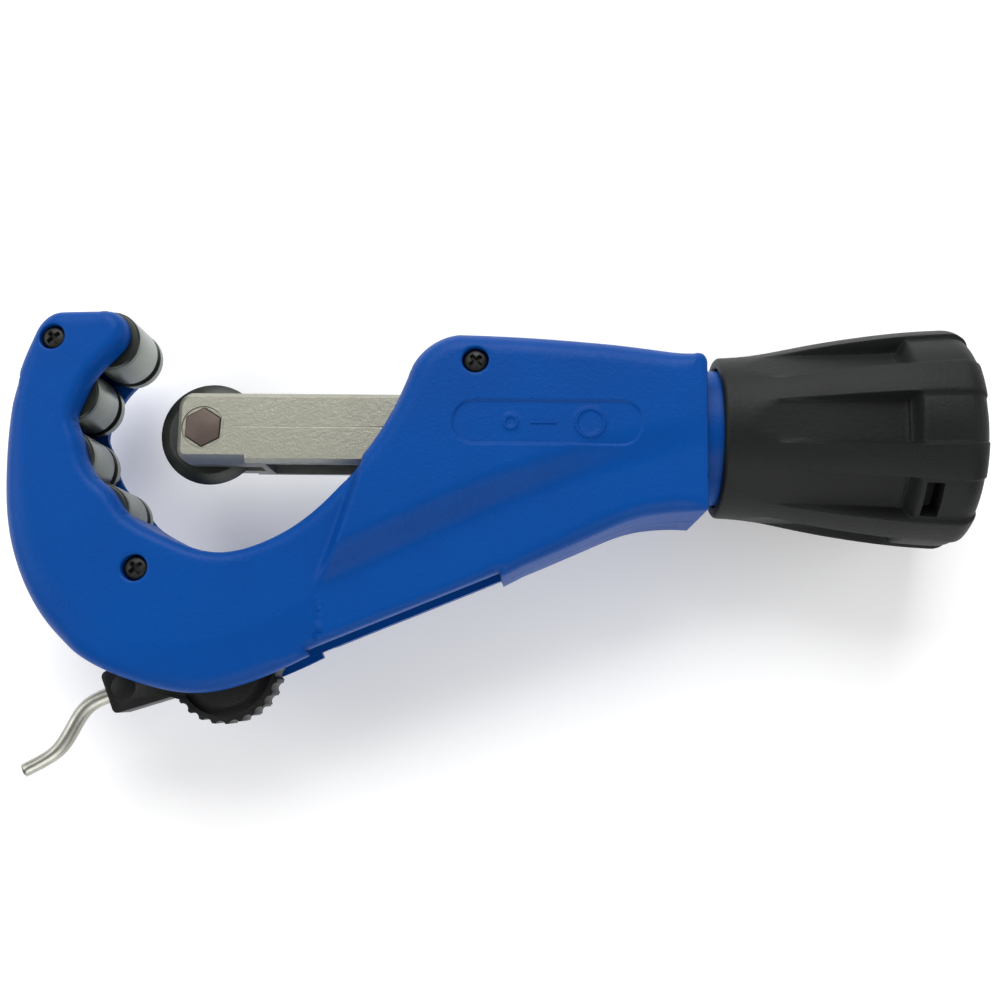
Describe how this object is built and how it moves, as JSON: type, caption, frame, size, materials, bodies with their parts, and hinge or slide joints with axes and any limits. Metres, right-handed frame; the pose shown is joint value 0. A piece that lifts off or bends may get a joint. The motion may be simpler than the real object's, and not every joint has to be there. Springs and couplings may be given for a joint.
{
  "type": "telescopic tube cutter",
  "caption": "Telescopic tube cutter: C-shaped jaw with guide rollers, a cutting wheel on a screw-fed arm, a fluted turning knob and a slide-out swivel deburring blade.",
  "frame": {"origin": "centre of the largest pipe seated on the two outer rollers, in the plane where the body shells meet", "axes": "+X along the feed axis towards the knob; +Y towards the upper edge of the handle; +Z through the thickness, along the pipe; the tool lies on its side"},
  "size_m": [0.194, 0.0934, 0.0446],
  "materials": {
    "blue_body": "satin powder coat",
    "black_screw": "black oxide",
    "bright_steel": "satin",
    "nickel_cast": "satin nickel",
    "black_oxide": "black oxide",
    "bronze": "machined",
    "brown_steel": "dark bronzed",
    "black_plastic": "fine grain",
    "black_moulding": "fine grain"
  },
  "bodies": {
    "body": {"shell_upper": "blue_body", "shell_lower": "blue_body", "body_screws": "black_screw", "neck_ring": "bright_steel", "roller_pin_1": "bright_steel", "roller_pin_2": "bright_steel", "roller_pin_3": "bright_steel", "roller_pin_4": "bright_steel", "thrust_washer_front": "bronze", "thrust_washer_rear": "bronze"},
    "knob": {"knob_grip": "black_plastic", "knob_hub": "black_moulding", "knob_washer": "bright_steel", "knob_bolt": "bright_steel", "knob_cap": "black_moulding", "spare_wheel": "black_oxide", "feed_screw": "bright_steel"},
    "arm": {"slide_arm": "nickel_cast", "feed_nut": "bronze", "cutter_axle": "brown_steel", "axle_clip": "bright_steel"},
    "wheel": {"cutter_wheel": "black_oxide"},
    "roller_1": {"roller_1": "bright_steel"},
    "roller_2": {"roller_2": "bright_steel"},
    "roller_3": {"roller_3": "bright_steel"},
    "roller_4": {"roller_4": "bright_steel"},
    "deburrer": {"deburrer_carrier": "black_moulding", "blade_lock": "black_moulding"},
    "blade": {"deburrer_blade": "bright_steel"}
  },
  "joints": [
    {"name": "knob_turn", "type": "hinge", "parent": "body", "child": "knob", "pos_m": [0.11, 0, 0], "axis": [1, 0, 0], "range_deg": [-2160, 6444]},
    {"name": "arm_feed", "type": "slide", "parent": "body", "child": "arm", "axis": [1, 0, 0], "range_m": [-0.012, 0.0358]},
    {"name": "wheel_spin", "type": "hinge", "parent": "arm", "child": "wheel", "pos_m": [-0.0027, 0, 0], "axis": [0, 0, 1], "continuous": true},
    {"name": "roller_1_spin", "type": "hinge", "parent": "body", "child": "roller_1", "pos_m": [-0.02249, 0.01775, 0], "axis": [0, 0, 1], "continuous": true},
    {"name": "roller_2_spin", "type": "hinge", "parent": "body", "child": "roller_2", "pos_m": [-0.03019, 0.0068, 0], "axis": [0, 0, 1], "continuous": true},
    {"name": "roller_3_spin", "type": "hinge", "parent": "body", "child": "roller_3", "pos_m": [-0.03019, -0.0068, 0], "axis": [0, 0, 1], "continuous": true},
    {"name": "roller_4_spin", "type": "hinge", "parent": "body", "child": "roller_4", "pos_m": [-0.02249, -0.01775, 0], "axis": [0, 0, 1], "continuous": true},
    {"name": "deburrer_slide", "type": "slide", "parent": "body", "child": "deburrer", "axis": [0.9239, 0.3827, 0], "range_m": [0, 0.046]},
    {"name": "blade_swivel", "type": "hinge", "parent": "deburrer", "child": "blade", "pos_m": [-0.0168, -0.0521, 0], "axis": [0.9239, 0.3827, 0], "range_deg": [-45, 45]}
  ],
  "couplings": [
    {"joint": "arm_feed", "follows": "knob_turn", "m_per_rad": 0.00031831}
  ]
}
